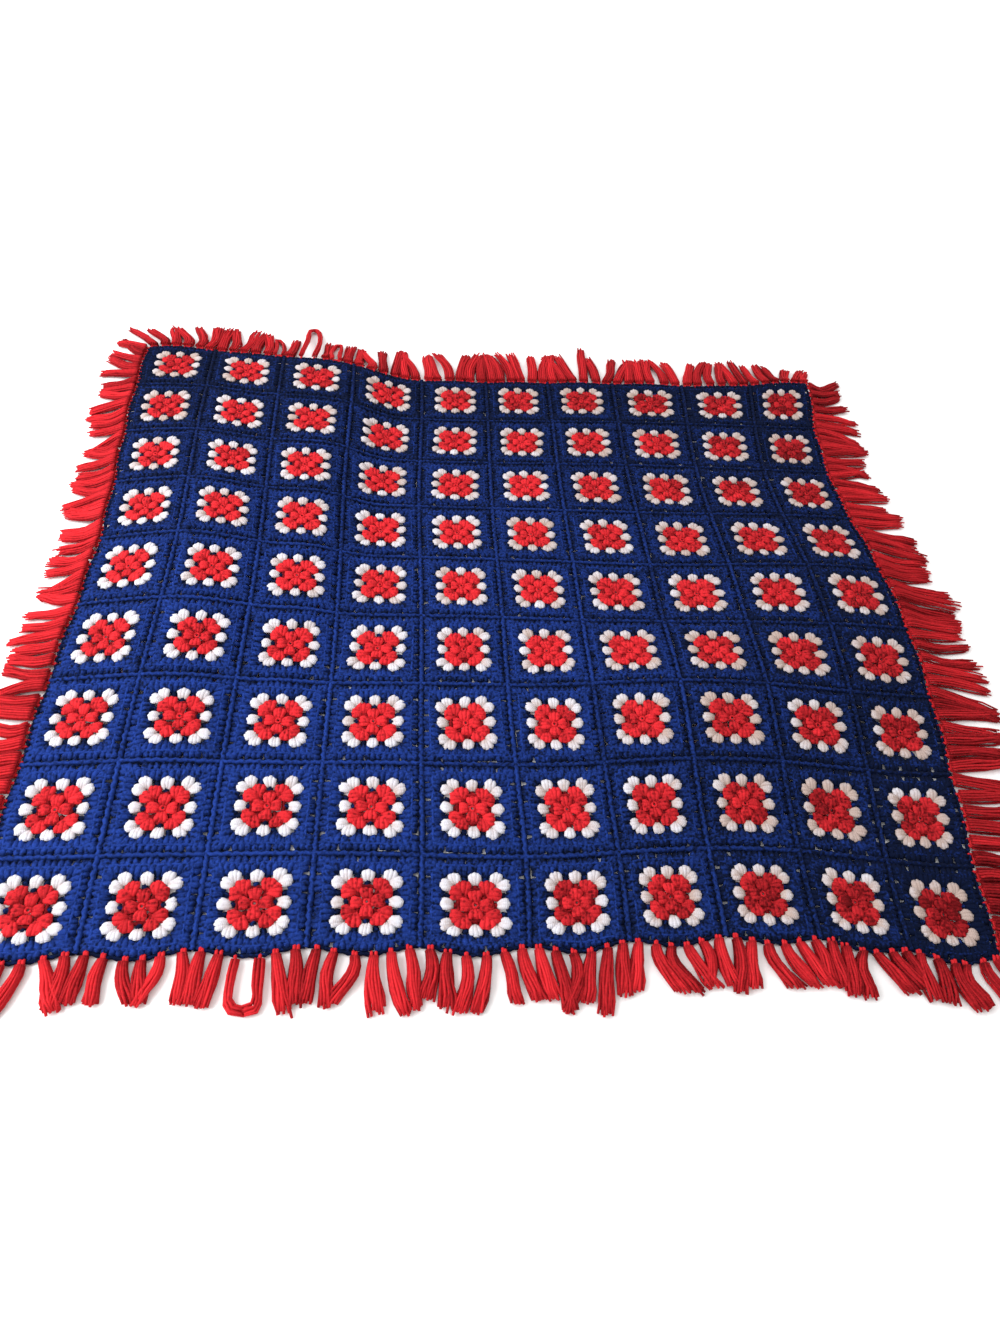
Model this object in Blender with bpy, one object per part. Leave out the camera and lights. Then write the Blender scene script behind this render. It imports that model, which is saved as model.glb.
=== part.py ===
"""Granny square blanket, laid out on a flat surface: one crocheted field of ten by nine
squares, and a knotted fringe on each of its four sides.

Units are metres, +Z is up, +X runs across the ten squares and +Y away from the near edge.
The field's underside lies at z = 0 wherever the blanket touches the surface.
"""

import math
import random
from collections import namedtuple

import bmesh
import bpy
from mathutils import Vector

# The field of squares
SQUARES_ACROSS = 10
SQUARES_DEEP = 9
SQUARE_PITCH = 0.150
CLOTH_THICKNESS = 0.004
CELLS_PER_SQUARE = 3
FIELD_WIDTH = SQUARES_ACROSS * SQUARE_PITCH
FIELD_DEPTH = SQUARES_DEEP * SQUARE_PITCH
CELL = SQUARE_PITCH / CELLS_PER_SQUARE

# The widest gaps between the red clusters, cut through at three sides of each square
GAP_WIDTH = 0.0045
GAP_FROM_CENTRE = 0.029
GAP_SIDES = ((1, 0), (-1, 0), (0, -1))

# The field's rim is drawn in where two squares are joined, and less so further in
RIM_REACH = 0.030

# The fringe: six knotted locks along each square's side
LOCKS_PER_SQUARE = 6
LENGTH_SPREAD = 0.006
STRIP_GAP = 0.0003
STRIP_WIDTH = 0.004
STRIP_HEIGHT = 0.004

# Lean of the locks along their side: two waves counted in locks, and a fan at the corners as
# a share of the locks' length
LEAN_WAVE = 0.008
LEAN_WAVE_LOCKS = 7.3
LEAN_RIPPLE = 0.002
LEAN_RIPPLE_LOCKS = 3.7
CORNER_FAN = 0.50
CORNER_FAN_LOCKS = 4

# Sections of a lock, from its knot to its cut end: how far out it is, how much of the way to
# its nearer neighbour it fills, how thick it is, how much of the cloth's height above the
# surface is left and how much of the lean it has taken
Section = namedtuple("Section", "along fill thickness height lean")
LOCK_SECTIONS = (
    Section(along=0.10, fill=0.42, thickness=0.0060, height=0.85, lean=0.05),
    Section(along=0.50, fill=0.70, thickness=0.0055, height=0.00, lean=0.45),
    Section(along=1.00, fill=0.84, thickness=0.0040, height=0.00, lean=1.00),
)

# Soft ridges that the cloth lies in. The bearing of the crest is in degrees from +Y to +X.
Swell = namedtuple("Swell", "x y bearing half_length west_width east_width rise")
SWELLS = (
    Swell(x=-0.60, y=0.10, bearing=-5, half_length=0.75, west_width=0.30, east_width=0.20, rise=0.040),
    Swell(x=-0.35, y=0.40, bearing=5, half_length=1.00, west_width=0.35, east_width=0.15, rise=0.035),
    Swell(x=0.65, y=0.00, bearing=10, half_length=0.40, west_width=0.40, east_width=0.30, rise=0.025),
    Swell(x=0.75, y=0.80, bearing=0, half_length=0.30, west_width=0.30, east_width=0.30, rise=0.035),
    Swell(x=0.35, y=-0.25, bearing=90, half_length=0.35, west_width=0.25, east_width=0.30, rise=0.030),
)

# Places where the cloth was drawn sideways when it was laid out
Pull = namedtuple("Pull", "x y reach east north")
PULLS = (
    Pull(x=0.45, y=0.10, reach=0.40, east=0.010, north=0.000),
    Pull(x=-0.15, y=-0.10, reach=0.50, east=0.015, north=0.010),
    Pull(x=0.90, y=-0.10, reach=0.65, east=0.040, north=-0.025),
    Pull(x=0.75, y=-0.65, reach=0.35, east=-0.040, north=-0.045),
    Pull(x=-0.75, y=0.10, reach=0.45, east=0.030, north=0.015),
    Pull(x=-0.15, y=0.65, reach=0.55, east=0.025, north=-0.030),
    Pull(x=-0.70, y=0.65, reach=0.40, east=0.000, north=0.055),
    Pull(x=0.65, y=0.75, reach=0.45, east=0.070, north=0.000),
    Pull(x=0.00, y=-0.55, reach=0.30, east=0.015, north=-0.015),
)

# The four sides, each walked with its fringe on the right hand: where it starts and ends in
# the flat field, in half widths and half depths, how far its rim is drawn in at each seam,
# its locks' length and own lean, and how far they lie square to the whole side (1) and not
# to the rim beside them (0)
Side = namedtuple("Side", "name start end squares dip length lean square phase")
SIDES = (
    Side("fringe_near", (-1, -1), (1, -1), SQUARES_ACROSS, 0.012, 0.063, 0.002, square=0.8, phase=0.4),
    Side("fringe_right", (1, -1), (1, 1), SQUARES_DEEP, 0.005, 0.096, -0.004, square=0.7, phase=1.9),
    Side("fringe_far", (1, 1), (-1, 1), SQUARES_ACROSS, 0.005, 0.088, 0.002, square=0.8, phase=3.1),
    Side("fringe_left", (-1, 1), (-1, -1), SQUARES_DEEP, 0.005, 0.076, 0.003, square=0.7, phase=4.6),
)

# Finishes: colour (linear), roughness
Finish = namedtuple("Finish", "colour roughness")
FIELD_FINISH = Finish(colour=(0.010, 0.035, 0.300, 1.0), roughness=0.9)
FRINGE_FINISH = Finish(colour=(0.700, 0.018, 0.016, 1.0), roughness=0.9)


def clear_scene():
    """Remove every object that the scene starts with."""
    for obj in list(bpy.data.objects):
        bpy.data.objects.remove(obj)


def material(name, finish):
    """A Principled material of one finish."""
    made = bpy.data.materials.new(name)
    made.use_nodes = True
    shader = made.node_tree.nodes["Principled BSDF"]
    shader.inputs["Base Color"].default_value = finish.colour
    shader.inputs["Roughness"].default_value = finish.roughness
    shader.inputs["Metallic"].default_value = 0.0
    return made


def rise_at(x, y):
    """Height of the cloth's underside over the surface, at a place of the flat field."""
    height = 0.0
    for swell in SWELLS:
        bearing = math.radians(swell.bearing)
        east, north = x - swell.x, y - swell.y
        along = east * math.sin(bearing) + north * math.cos(bearing)
        across = east * math.cos(bearing) - north * math.sin(bearing)
        width = swell.east_width if across > 0 else swell.west_width
        out = math.hypot(along / swell.half_length, across / width)
        if out < 1:
            height += swell.rise * math.cos(math.pi * out / 2) ** 2
    return height


def drawn_in(x, y):
    """How far the seams draw the field's rim in, at a place of the flat field."""
    place = Vector((x, y))
    half = Vector((FIELD_WIDTH / 2, FIELD_DEPTH / 2))
    moved = Vector((0, 0))
    for side in SIDES:
        start, end = Vector(side.start) * half, Vector(side.end) * half
        along = (end - start).normalized()
        inward = along.orthogonal() * (1 if along.orthogonal().dot(start) < 0 else -1)
        seam = math.cos(math.pi * (place - start).dot(along) / SQUARE_PITCH) ** 2
        reach = math.exp(-(place - start).dot(inward) / RIM_REACH)
        moved += inward * side.dip * seam * reach
    return moved


def laid(x, y):
    """Where a point of the flat field lies once the blanket is laid out."""
    moved = drawn_in(x, y)
    for pull in PULLS:
        share = math.exp(-2 * ((x - pull.x) ** 2 + (y - pull.y) ** 2) / pull.reach**2)
        moved += Vector((pull.east, pull.north)) * share
    return Vector((x + moved.x, y + moved.y, rise_at(x, y)))


def link(name, bm, finish_material):
    """Turn a bmesh into a named object of the scene."""
    mesh = bpy.data.meshes.new(name)
    bm.to_mesh(mesh)
    bm.free()
    mesh.materials.append(finish_material)
    obj = bpy.data.objects.new(name, mesh)
    bpy.context.scene.collection.objects.link(obj)
    return obj


def thicken(bm, height):
    """Raise a copy of the sheet straight up, walled at its rim and at its gaps."""
    raised = bmesh.ops.extrude_face_region(bm, geom=bm.faces[:])["geom"]
    top = [element for element in raised if isinstance(element, bmesh.types.BMVert)]
    bmesh.ops.translate(bm, vec=(0, 0, height), verts=top)
    bmesh.ops.recalc_face_normals(bm, faces=bm.faces[:])


def gap_cells(bm):
    """The cells in which a gap is cut, each with the way from its square's centre."""
    cells = []
    for face in bm.faces:
        x, y, _ = face.calc_center_median()
        from_centre = tuple(
            round(((place + size / 2) / SQUARE_PITCH % 1 - 0.5) * CELLS_PER_SQUARE)
            for place, size in ((x, FIELD_WIDTH), (y, FIELD_DEPTH))
        )
        if from_centre in GAP_SIDES:
            cells.append((face, Vector((*from_centre, 0))))
    return cells


def make_field(finish_material):
    """The crocheted field: a draped sheet with its widest gaps cut through."""
    bm = bmesh.new()
    bmesh.ops.create_grid(
        bm,
        x_segments=SQUARES_ACROSS * CELLS_PER_SQUARE,
        y_segments=SQUARES_DEEP * CELLS_PER_SQUARE,
        size=0.5,
    )
    bmesh.ops.scale(bm, vec=(FIELD_WIDTH, FIELD_DEPTH, 1), verts=bm.verts[:])
    cells = gap_cells(bm)
    faces = [face for face, _ in cells]
    bmesh.ops.inset_individual(bm, faces=faces, thickness=(CELL - GAP_WIDTH) / 2)
    for face, way in cells:
        bmesh.ops.translate(bm, vec=way * (GAP_FROM_CENTRE - CELL), verts=face.verts[:])
    bmesh.ops.delete(bm, geom=faces, context="FACES")
    for vert in bm.verts:
        vert.co = laid(vert.co.x, vert.co.y)
    thicken(bm, CLOTH_THICKNESS)
    return link("crochet_field", bm, finish_material)


def edge_points(side):
    """The laid edge of the field along a side, one point for each lock's boundary."""
    half = Vector((FIELD_WIDTH / 2, FIELD_DEPTH / 2))
    start = Vector(side.start) * half
    end = Vector(side.end) * half
    cells = side.squares * CELLS_PER_SQUARE
    corners = [laid(*start.lerp(end, step / cells)) for step in range(cells + 1)]
    locks = side.squares * LOCKS_PER_SQUARE
    points = []
    for step in range(locks + 1):
        cell, part = divmod(step * cells, locks)
        following = corners[min(cell + 1, cells)]
        points.append(corners[cell].lerp(following, part / locks))
    return points


def outward_ways(points):
    """The level direction away from the cloth at each point of its edge."""
    ways = []
    for step in range(len(points)):
        along = points[min(step + 1, len(points) - 1)] - points[max(step - 1, 0)]
        ways.append(Vector((along.y, -along.x, 0)).normalized())
    return ways


def lean_of(side, lock, locks):
    """How far a lock's end lies along its side from square out of its knot."""
    lean = side.lean
    lean += LEAN_WAVE * math.sin(math.tau * lock / LEAN_WAVE_LOCKS + side.phase)
    lean += LEAN_RIPPLE * math.sin(math.tau * lock / LEAN_RIPPLE_LOCKS + side.phase)
    for from_corner, way in ((lock, -1), (locks - 1 - lock, 1)):
        lean += way * side.length * CORNER_FAN * max(0, 1 - from_corner / CORNER_FAN_LOCKS)
    return lean


def lock_paths(side, points, ways):
    """The centre line of each lock of a side: its places at the lock sections."""
    chance = random.Random(side.name)
    locks = len(points) - 1
    walked = Vector((*side.end, 0)) - Vector((*side.start, 0))
    square = Vector((walked.y, -walked.x, 0)).normalized()
    paths = []
    for lock in range(locks):
        way = (ways[lock] + ways[lock + 1]).normalized().lerp(square, side.square).normalized()
        along = Vector((-way.y, way.x, 0))
        length = side.length + chance.uniform(-1, 1) * LENGTH_SPREAD
        lean = lean_of(side, lock, locks)
        out = math.sqrt(length**2 - lean**2)
        root = (points[lock] + points[lock + 1]) / 2 + way * (STRIP_GAP + STRIP_WIDTH)
        path = []
        for section in LOCK_SECTIONS:
            place = root + way * out * section.along + along * lean * section.lean
            path.append(Vector((place.x, place.y, root.z * section.height)))
        paths.append(path)
    return paths


def room(paths, lock, level):
    """The way along the side, as long as the distance to a lock's nearer neighbour."""
    places = [path[level] for path in paths[max(lock - 1, 0) : lock + 2]]
    spans = [after - before for before, after in zip(places, places[1:])]
    nearer = min(span.xy.length for span in spans)
    across = (places[-1] - places[0]).xy.normalized() * nearer
    return Vector((across.x, across.y, 0))


def make_fringe(side, finish_material):
    """One side's fringe: a narrow strip along the cloth's edge and the locks that leave it."""
    points = edge_points(side)
    ways = outward_ways(points)
    bm = bmesh.new()
    bmesh.ops.create_grid(bm, x_segments=len(points) - 1, y_segments=1, size=0.5)
    rows = sorted(bm.verts, key=lambda vert: (vert.co.y, vert.co.x))
    outer, inner = rows[: len(points)], rows[len(points) :]
    for near, far, point, way in zip(inner, outer, points, ways):
        near.co = point + way * STRIP_GAP
        far.co = point + way * (STRIP_GAP + STRIP_WIDTH)
    roots = [(far, beyond) for far, beyond in zip(outer, outer[1:])]
    thicken(bm, STRIP_HEIGHT)
    edges = {frozenset(root): number for number, root in enumerate(roots)}
    locks = {}
    for face in bm.faces:
        for edge in face.edges:
            number = edges.get(frozenset(edge.verts))
            if number is not None and abs(face.normal.z) < 0.5:
                locks[number] = face
    paths = lock_paths(side, points, ways)
    for level, section in enumerate(LOCK_SECTIONS):
        for number in sorted(locks):
            root = locks[number]
            across = room(paths, number, level) * section.fill / 2
            grown = bmesh.ops.extrude_discrete_faces(bm, faces=[root])["faces"][0]
            place_section(grown, paths[number][level], across, section.thickness)
            locks[number] = grown
    bmesh.ops.recalc_face_normals(bm, faces=bm.faces[:])
    return link(side.name, bm, finish_material)


def place_section(face, centre, across, thickness):
    """Set the four corners of a lock's end: two below and two above, either side of it."""
    middle = face.calc_center_median()
    corners = sorted(face.verts, key=lambda vert: (vert.co - middle).dot(across))
    for pair, way in ((corners[:2], -across), (corners[2:], across)):
        below, above = sorted(pair, key=lambda vert: vert.co.z)
        below.co = centre + way
        above.co = centre + way + Vector((0, 0, thickness))


def centre_on_origin(objects):
    """Bring the middle of everything's box over the origin."""
    places = [vert.co for obj in objects for vert in obj.data.vertices]
    middle_x = (min(p.x for p in places) + max(p.x for p in places)) / 2
    middle_y = (min(p.y for p in places) + max(p.y for p in places)) / 2
    for obj in objects:
        for vert in obj.data.vertices:
            vert.co.x -= middle_x
            vert.co.y -= middle_y


def main():
    """Build the blanket."""
    clear_scene()
    field_material = material("blue_yarn", FIELD_FINISH)
    fringe_material = material("red_yarn", FRINGE_FINISH)
    pieces = [make_field(field_material)]
    for side in SIDES:
        pieces.append(make_fringe(side, fringe_material))
    centre_on_origin(pieces)


main()
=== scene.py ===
"""Granny square blanket laid out on a floor: its crocheted squares, their joins and the fringe.

Units are metres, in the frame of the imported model: +Z is up, +X runs across the ten
squares and +Y away from the near edge. Lengths inside a square are in millimetres.
"""

import logging
import math
import random
from dataclasses import dataclass
from enum import Enum

import bmesh
import bpy
import numpy as np
from mathutils import Euler, Matrix
from numpy.typing import NDArray


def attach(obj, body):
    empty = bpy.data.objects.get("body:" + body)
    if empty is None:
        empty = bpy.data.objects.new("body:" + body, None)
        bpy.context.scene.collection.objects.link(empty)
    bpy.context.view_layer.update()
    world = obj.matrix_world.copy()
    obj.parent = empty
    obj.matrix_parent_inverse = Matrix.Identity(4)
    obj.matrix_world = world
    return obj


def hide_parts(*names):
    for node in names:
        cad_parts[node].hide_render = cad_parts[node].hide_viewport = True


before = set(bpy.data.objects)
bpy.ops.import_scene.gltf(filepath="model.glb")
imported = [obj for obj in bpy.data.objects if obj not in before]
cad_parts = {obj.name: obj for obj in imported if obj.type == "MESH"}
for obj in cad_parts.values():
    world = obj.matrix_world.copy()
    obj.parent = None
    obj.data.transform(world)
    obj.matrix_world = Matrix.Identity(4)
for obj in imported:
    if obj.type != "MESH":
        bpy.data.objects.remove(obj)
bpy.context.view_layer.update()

logging.basicConfig(level=logging.INFO, format="%(name)s: %(message)s")
LOG = logging.getLogger("blanket")

Array = NDArray[np.float64]
Pair = tuple[float, float]
Place = tuple[float, float, float]
Tree = bpy.types.NodeTree
Socket = bpy.types.NodeSocket
Inputs = dict[str | int, Socket | float | tuple[float, ...]]

MM = 0.001
BODY = "root"
CLOTH = "crochet_field"
SEED = 20
UP = np.array((0.0, 0.0, 1.0))

# The field of squares. MIDDLE is the middle of the blanket's box in the flat field's own frame.
SQUARES_ACROSS = 10
SQUARES_DEEP = 9
PITCH = 0.150
HALF_FIELD = np.array((SQUARES_ACROSS * PITCH / 2, SQUARES_DEEP * PITCH / 2))
RIM_REACH = 0.030
NARROW_KNOT = 8.0
MIDDLE = np.array((0.0363, 0.0153, 0.0))


class Yarn(Enum):
    """The three yarns, by the record's name for each."""

    RED = "red_yarn"
    WHITE = "white_yarn"
    BLUE = "blue_yarn"


@dataclass(frozen=True)
class Swell:
    """A soft ridge that the cloth lies in, its crest's bearing in degrees from +Y to +X."""

    x: float
    y: float
    bearing: float
    half_length: float
    west_width: float
    east_width: float
    rise: float

    def height(self, flat: Array) -> Array:
        """Rise of the cloth over the floor.

        Args:
            flat: Places of the flat field, x and y last.

        Returns:
            The height that this swell gives each place.
        """
        bearing = math.radians(self.bearing)
        east = flat[..., 0] - self.x
        north = flat[..., 1] - self.y
        along = east * math.sin(bearing) + north * math.cos(bearing)
        across = east * math.cos(bearing) - north * math.sin(bearing)
        width = np.where(across > 0, self.east_width, self.west_width)
        out = np.minimum(np.hypot(along / self.half_length, across / width), 1.0)
        return self.rise * np.cos(math.pi * out / 2) ** 2


@dataclass(frozen=True)
class Pull:
    """A place where the cloth was drawn sideways when it was laid out."""

    x: float
    y: float
    reach: float
    east: float
    north: float

    def shift(self, flat: Array) -> Array:
        """How far each place of the flat field was drawn.

        Args:
            flat: Places of the flat field, x and y last.

        Returns:
            The shift of each place, x and y last.
        """
        away = (flat[..., 0] - self.x) ** 2 + (flat[..., 1] - self.y) ** 2
        share = np.exp(-2 * away / self.reach**2)
        return share[..., None] * np.array((self.east, self.north))


@dataclass(frozen=True)
class Side:
    """One side of the field, walked with its fringe on the right hand.

    Attributes:
        name: Name of the side's node.
        start: Where it starts, in half widths and half depths of the field.
        end: Where it ends.
        squares: How many squares it passes.
        dip: How far its rim is drawn in at each seam.
        length: Length of its tufts.
        lean: How far a tuft's end lies along the side.
        square: How far tufts lie square to the side (1) and not to the rim there (0).
        phase: Start of the waves in which tufts lean.
        root: Half the width of a knot, in millimetres.
        middle: How much longer the tufts at its middle are, as a share.
    """

    name: str
    start: tuple[int, int]
    end: tuple[int, int]
    squares: int
    dip: float
    length: float
    lean: float
    square: float
    phase: float
    root: float
    middle: float

    @property
    def corners(self) -> tuple[Array, Array]:
        """Corners of the flat field where the side starts and ends."""
        return np.array(self.start) * HALF_FIELD, np.array(self.end) * HALF_FIELD

    @property
    def along(self) -> Array:
        """Unit direction in which the side is walked."""
        start, end = self.corners
        return (end - start) / np.linalg.norm(end - start)

    @property
    def tight(self) -> bool:
        """Whether its tufts are tied in narrow, high knots."""
        return self.root < NARROW_KNOT

    def drawn(self, flat: Array) -> Array:
        """How far the seams draw this side's rim in.

        Args:
            flat: Places of the flat field, x and y last.

        Returns:
            The shift of each place, x and y last.
        """
        along = self.along
        inward = np.array((-along[1], along[0]))
        away = flat - self.corners[0]
        seam = np.cos(math.pi * (away @ along) / PITCH) ** 2
        reach = np.exp(-(away @ inward) / RIM_REACH)
        return (self.dip * seam * reach)[..., None] * inward


SWELLS = (
    Swell(-0.60, 0.10, -5, 0.75, 0.30, 0.20, 0.040),
    Swell(-0.35, 0.40, 5, 1.00, 0.35, 0.15, 0.035),
    Swell(0.65, 0.00, 10, 0.40, 0.40, 0.30, 0.025),
    Swell(0.75, 0.80, 0, 0.30, 0.30, 0.30, 0.035),
    Swell(0.35, -0.25, 90, 0.35, 0.25, 0.30, 0.030),
)
PULLS = (
    Pull(0.45, 0.10, 0.40, 0.010, 0.000),
    Pull(-0.15, -0.10, 0.50, 0.015, 0.010),
    Pull(0.90, -0.10, 0.65, 0.040, -0.025),
    Pull(0.75, -0.65, 0.35, -0.040, -0.045),
    Pull(-0.75, 0.10, 0.45, 0.030, 0.015),
    Pull(-0.15, 0.65, 0.55, 0.025, -0.030),
    Pull(-0.70, 0.65, 0.40, 0.000, 0.055),
    Pull(0.65, 0.75, 0.45, 0.070, 0.000),
    Pull(0.00, -0.55, 0.30, 0.015, -0.015),
)
SIDES = (
    Side("fringe_near", (-1, -1), (1, -1), SQUARES_ACROSS, 0.012, 0.063, 0.002, 0.8, 0.4, 5.5, 0.14),
    Side("fringe_right", (1, -1), (1, 1), SQUARES_DEEP, 0.005, 0.096, -0.004, 0.7, 1.9, 11.5, 0.24),
    Side("fringe_far", (1, 1), (-1, 1), SQUARES_ACROSS, 0.005, 0.088, 0.002, 0.8, 3.1, 10.5, 0.12),
    Side("fringe_left", (-1, 1), (-1, -1), SQUARES_DEEP, 0.005, 0.076, 0.003, 0.7, 4.6, 11.5, 0.06),
)

# Tufts by side and number: how much longer they are, and half the opening of those left uncut,
# in millimetres. A loop wider than WIDE_LOOP takes the room of the next tuft too.
LONG_TUFTS = {("fringe_near", 34): 1.3, ("fringe_far", 20): 1.4, ("fringe_far", 45): 1.45}
UNCUT_TUFTS = {
    ("fringe_near", 14): 12.5,
    ("fringe_far", 43): 6.0,
    ("fringe_far", 45): 10.5,
    ("fringe_far", 48): 6.0,
}
WIDE_LOOP = 10.0

# How far along its tuft each ring of a strand is, and what the strands do from ring to ring:
# open to the end's width, part as a loop's legs, close up in each leg, lie on each other, rise
# to the tuft's middle, keep the rim's height and rise out of the knot (in metres)
RINGS = np.array((0.0, 0.07, 0.2, 0.4, 0.6, 0.8, 1.0))
OPENED = np.interp(RINGS, (0, 0.1, 0.3, 0.7, 1), (0.0, 0.1, 0.5, 0.9, 1.0))
PARTED = np.interp(RINGS, (0, 0.2, 0.6, 0.8, 1), (0.85, 0.95, 1.0, 0.75, -0.15))
THINNED = 1 - 0.8 * RINGS**3
STACKED = np.interp(RINGS, (0, 0.7, 1), (1, 1, 0.5))
CROWNED = np.interp(RINGS, (0, 0.2, 0.7, 1), (0.5, 1.0, 0.8, 0.3))
HELD_UP = np.interp(RINGS, (0, 0.07, 0.5, 1), (1.0, 0.92, 0.0, 0.0))
RAISED = np.interp(RINGS, (0, 0.07, 0.2, 1), (2.0, 1.6, 0, 0)) * MM
LAYERS = (0, 2, 1)
TIPPED = np.array((0.9, 1.0, 1.0, 1.0, 1.0, 1.0, 0.85))

# The bar across a knot: its places along the side and its rise, and how thick the yarn is
BAR = np.array((-1.0, -0.45, 0.45, 1.0))
BAR_RISE = np.array((2.6, 5.0, 5.0, 2.6))
KNOT_RADII = np.array((1.9, 2.6, 2.6, 2.0)) * MM
KNOT_TONE = 0.2

# Middles of one side's dark spaces, along and out from a square's centre, in millimetres: low
# strands in deep tone, painted shadow in the holes between clusters. The loose ones are only in
# the squares left of LOOSE_END, in metres, as painted shadow in the opened holes there.
RED_SPACES = ((0.0, 27.0), (12.5, 12.5))
BLUE_SPACES = ((-14.1, 38.5), (14.1, 38.5))
LOOSE_SPACES = ((0.0, 27.5),)
LOOSE_END = -0.20

# Every yarn's patches of random shade, small loops and hairs in a metre, the distances from a loop's
# middle between which its painted hollow shade fades, and the plies: how many, their height as a
# share of the hairs', the strength and height of both and the length of a turn (in metres)
MOTTLE_SCALE, LOOP_SCALE, FUZZ_SCALE = 260.0, 150.0, 1400.0
HOLLOW = (0.18, 0.48)
PLIES = 3.0
PLY_SHARE = 0.5
STRENGTH = 0.5
RELIEF = 0.0008
PLY_PITCH = 2.4 * MM


def unit(ways: Array) -> Array:
    """Vectors of the last axis scaled to length one."""
    return ways / np.maximum(np.linalg.norm(ways, axis=-1, keepdims=True), 1e-12)


class Drape:
    """The way the flat field of squares lies on the floor."""

    def laid(self, flat: Array, lift: Array | float = 0.0) -> Array:
        """Where places of the flat field lie.

        Args:
            flat: Places of the flat field, x and y last.
            lift: Height of each place over the cloth's underside.

        Returns:
            The places in the row frame, x, y and z last.
        """
        moved = sum(pull.shift(flat) for pull in PULLS)
        moved = moved + sum(side.drawn(flat) for side in SIDES)
        height = sum(swell.height(flat) for swell in SWELLS) + lift
        return np.concatenate((flat + moved, height[..., None]), axis=-1) - MIDDLE


def add_object(name: str, data: bpy.types.ID) -> bpy.types.Object:
    """Make an object and link it to the scene.

    Args:
        name: Name of the object.
        data: Its mesh, light or camera.

    Returns:
        The object, at the origin.
    """
    made = bpy.data.objects.new(name, data)
    bpy.context.scene.collection.objects.link(made)
    return made


def set_inputs(tree: Tree, node: bpy.types.Node, inputs: Inputs) -> None:
    """Lead other nodes' outputs and constants to a node.

    Args:
        tree: The material's or the world's nodes.
        node: The node.
        inputs: What its sockets take.
    """
    for socket, value in inputs.items():
        if isinstance(value, Socket):
            tree.links.new(value, node.inputs[socket])
        else:
            node.inputs[socket].default_value = value


def add_node(tree: Tree, kind: str, inputs: Inputs, **settings: str | bool) -> bpy.types.NodeOutputs:
    """Add one node to a material.

    Args:
        tree: The material's nodes.
        kind: The node's type, without its first two words.
        inputs: What its sockets take.
        settings: The node's own settings.

    Returns:
        The node's outputs.
    """
    made = tree.nodes.new(f"ShaderNode{kind}")
    for name, value in settings.items():
        setattr(made, name, value)
    set_inputs(tree, made, inputs)
    return made.outputs


def calculated(tree: Tree, operation: str, *inputs: Socket | float, clamp: bool = False) -> Socket:
    """The output of one more step of arithmetic on other outputs and constants."""
    return add_node(tree, "Math", dict(enumerate(inputs)), operation=operation, use_clamp=clamp)[0]


@dataclass(frozen=True)
class YarnFinish:
    """The look of one yarn: matt, slightly fuzzy, with the twist of its plies.

    Attributes:
        name: Name of the material.
        light: Colour at tone 0, the lit end of the painted light and the yarn's lighter random tones.
        deep: Colour at tone 1, the painted shade end, also used for the yarn's deeper random tones.
        sheen: Weight of the sheen.
        pits: How much painted shade darkens the small hollows between its loops.
        mottle: How far its shade varies within a few millimetres.
    """

    name: str
    light: Place
    deep: Place
    sheen: float
    pits: float
    mottle: float = 0.7

    def material(self) -> bpy.types.Material:
        """Make the yarn's material.

        Returns:
            A material that reads the strand's UV map, its tone and Object coordinates.
        """
        made = bpy.data.materials.new(self.name)
        made.use_nodes = True
        tree = made.node_tree
        inputs = {"Roughness": 0.92, "Specular IOR Level": 0.1, "Sheen Weight": self.sheen}
        inputs |= {"Sheen Roughness": 0.45, "Sheen Tint": (*self.light, 1.0)}
        inputs |= {"Base Color": self._colour(tree), "Normal": self._twist(tree)}
        set_inputs(tree, tree.nodes["Principled BSDF"], inputs)
        return made

    def _colour(self, tree: Tree) -> Socket:
        """The yarn's lit and shaded colours, mixed by the strand's tone, a soft mottle and painted
        shade in small pits.

        Args:
            tree: The material's nodes.

        Returns:
            The colour.
        """
        place = add_node(tree, "TexCoord", {})["Object"]
        tone = add_node(tree, "Attribute", {}, attribute_name="tone")["Fac"]
        noise = {"Vector": place, "Scale": MOTTLE_SCALE, "Detail": 2.0}
        mottle = add_node(tree, "TexNoise", noise)["Fac"]
        mottle = calculated(tree, "MULTIPLY_ADD", mottle, self.mottle, -self.mottle / 2)
        # Painted shade in the small hollows between loops: deeper near the middle of each Voronoi
        # cell.
        away = add_node(tree, "TexVoronoi", {"Vector": place, "Scale": LOOP_SCALE})["Distance"]
        fade = {"Value": away, "From Min": HOLLOW[0], "From Max": HOLLOW[1]}
        pits = add_node(tree, "MapRange", {**fade, "To Min": self.pits, "To Max": 0.0})["Result"]
        shade = calculated(tree, "ADD", mottle, pits)
        shade = calculated(tree, "ADD", tone, shade, clamp=True)
        blend = {"Factor": shade, "A": (*self.light, 1.0), "B": (*self.deep, 1.0)}
        return add_node(tree, "Mix", blend, data_type="RGBA")["Result"]

    def _twist(self, tree: Tree) -> Socket:
        """The relief of the plies that wind round the strand, and of the fuzz over them.

        Args:
            tree: The material's nodes.

        Returns:
            The normal.
        """
        strand = add_node(tree, "UVMap", {}, uv_map="strand")["UV"]
        split = add_node(tree, "SeparateXYZ", {"Vector": strand})
        wound = calculated(tree, "MULTIPLY_ADD", split["X"], PLIES, split["Y"])
        plies = calculated(tree, "SINE", calculated(tree, "MULTIPLY", wound, math.tau))
        place = add_node(tree, "TexCoord", {})["Object"]
        noise = {"Vector": place, "Scale": FUZZ_SCALE, "Detail": 3.0}
        fuzz = add_node(tree, "TexNoise", noise)["Fac"]
        relief = calculated(tree, "MULTIPLY_ADD", plies, PLY_SHARE, fuzz)
        bump = {"Height": relief, "Strength": STRENGTH, "Distance": RELIEF}
        return add_node(tree, "Bump", bump)["Normal"]


# Colours at tone 0 and tone 1: the deep ends serve painted shade as well as the yarns' deeper random
# tones.
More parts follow.
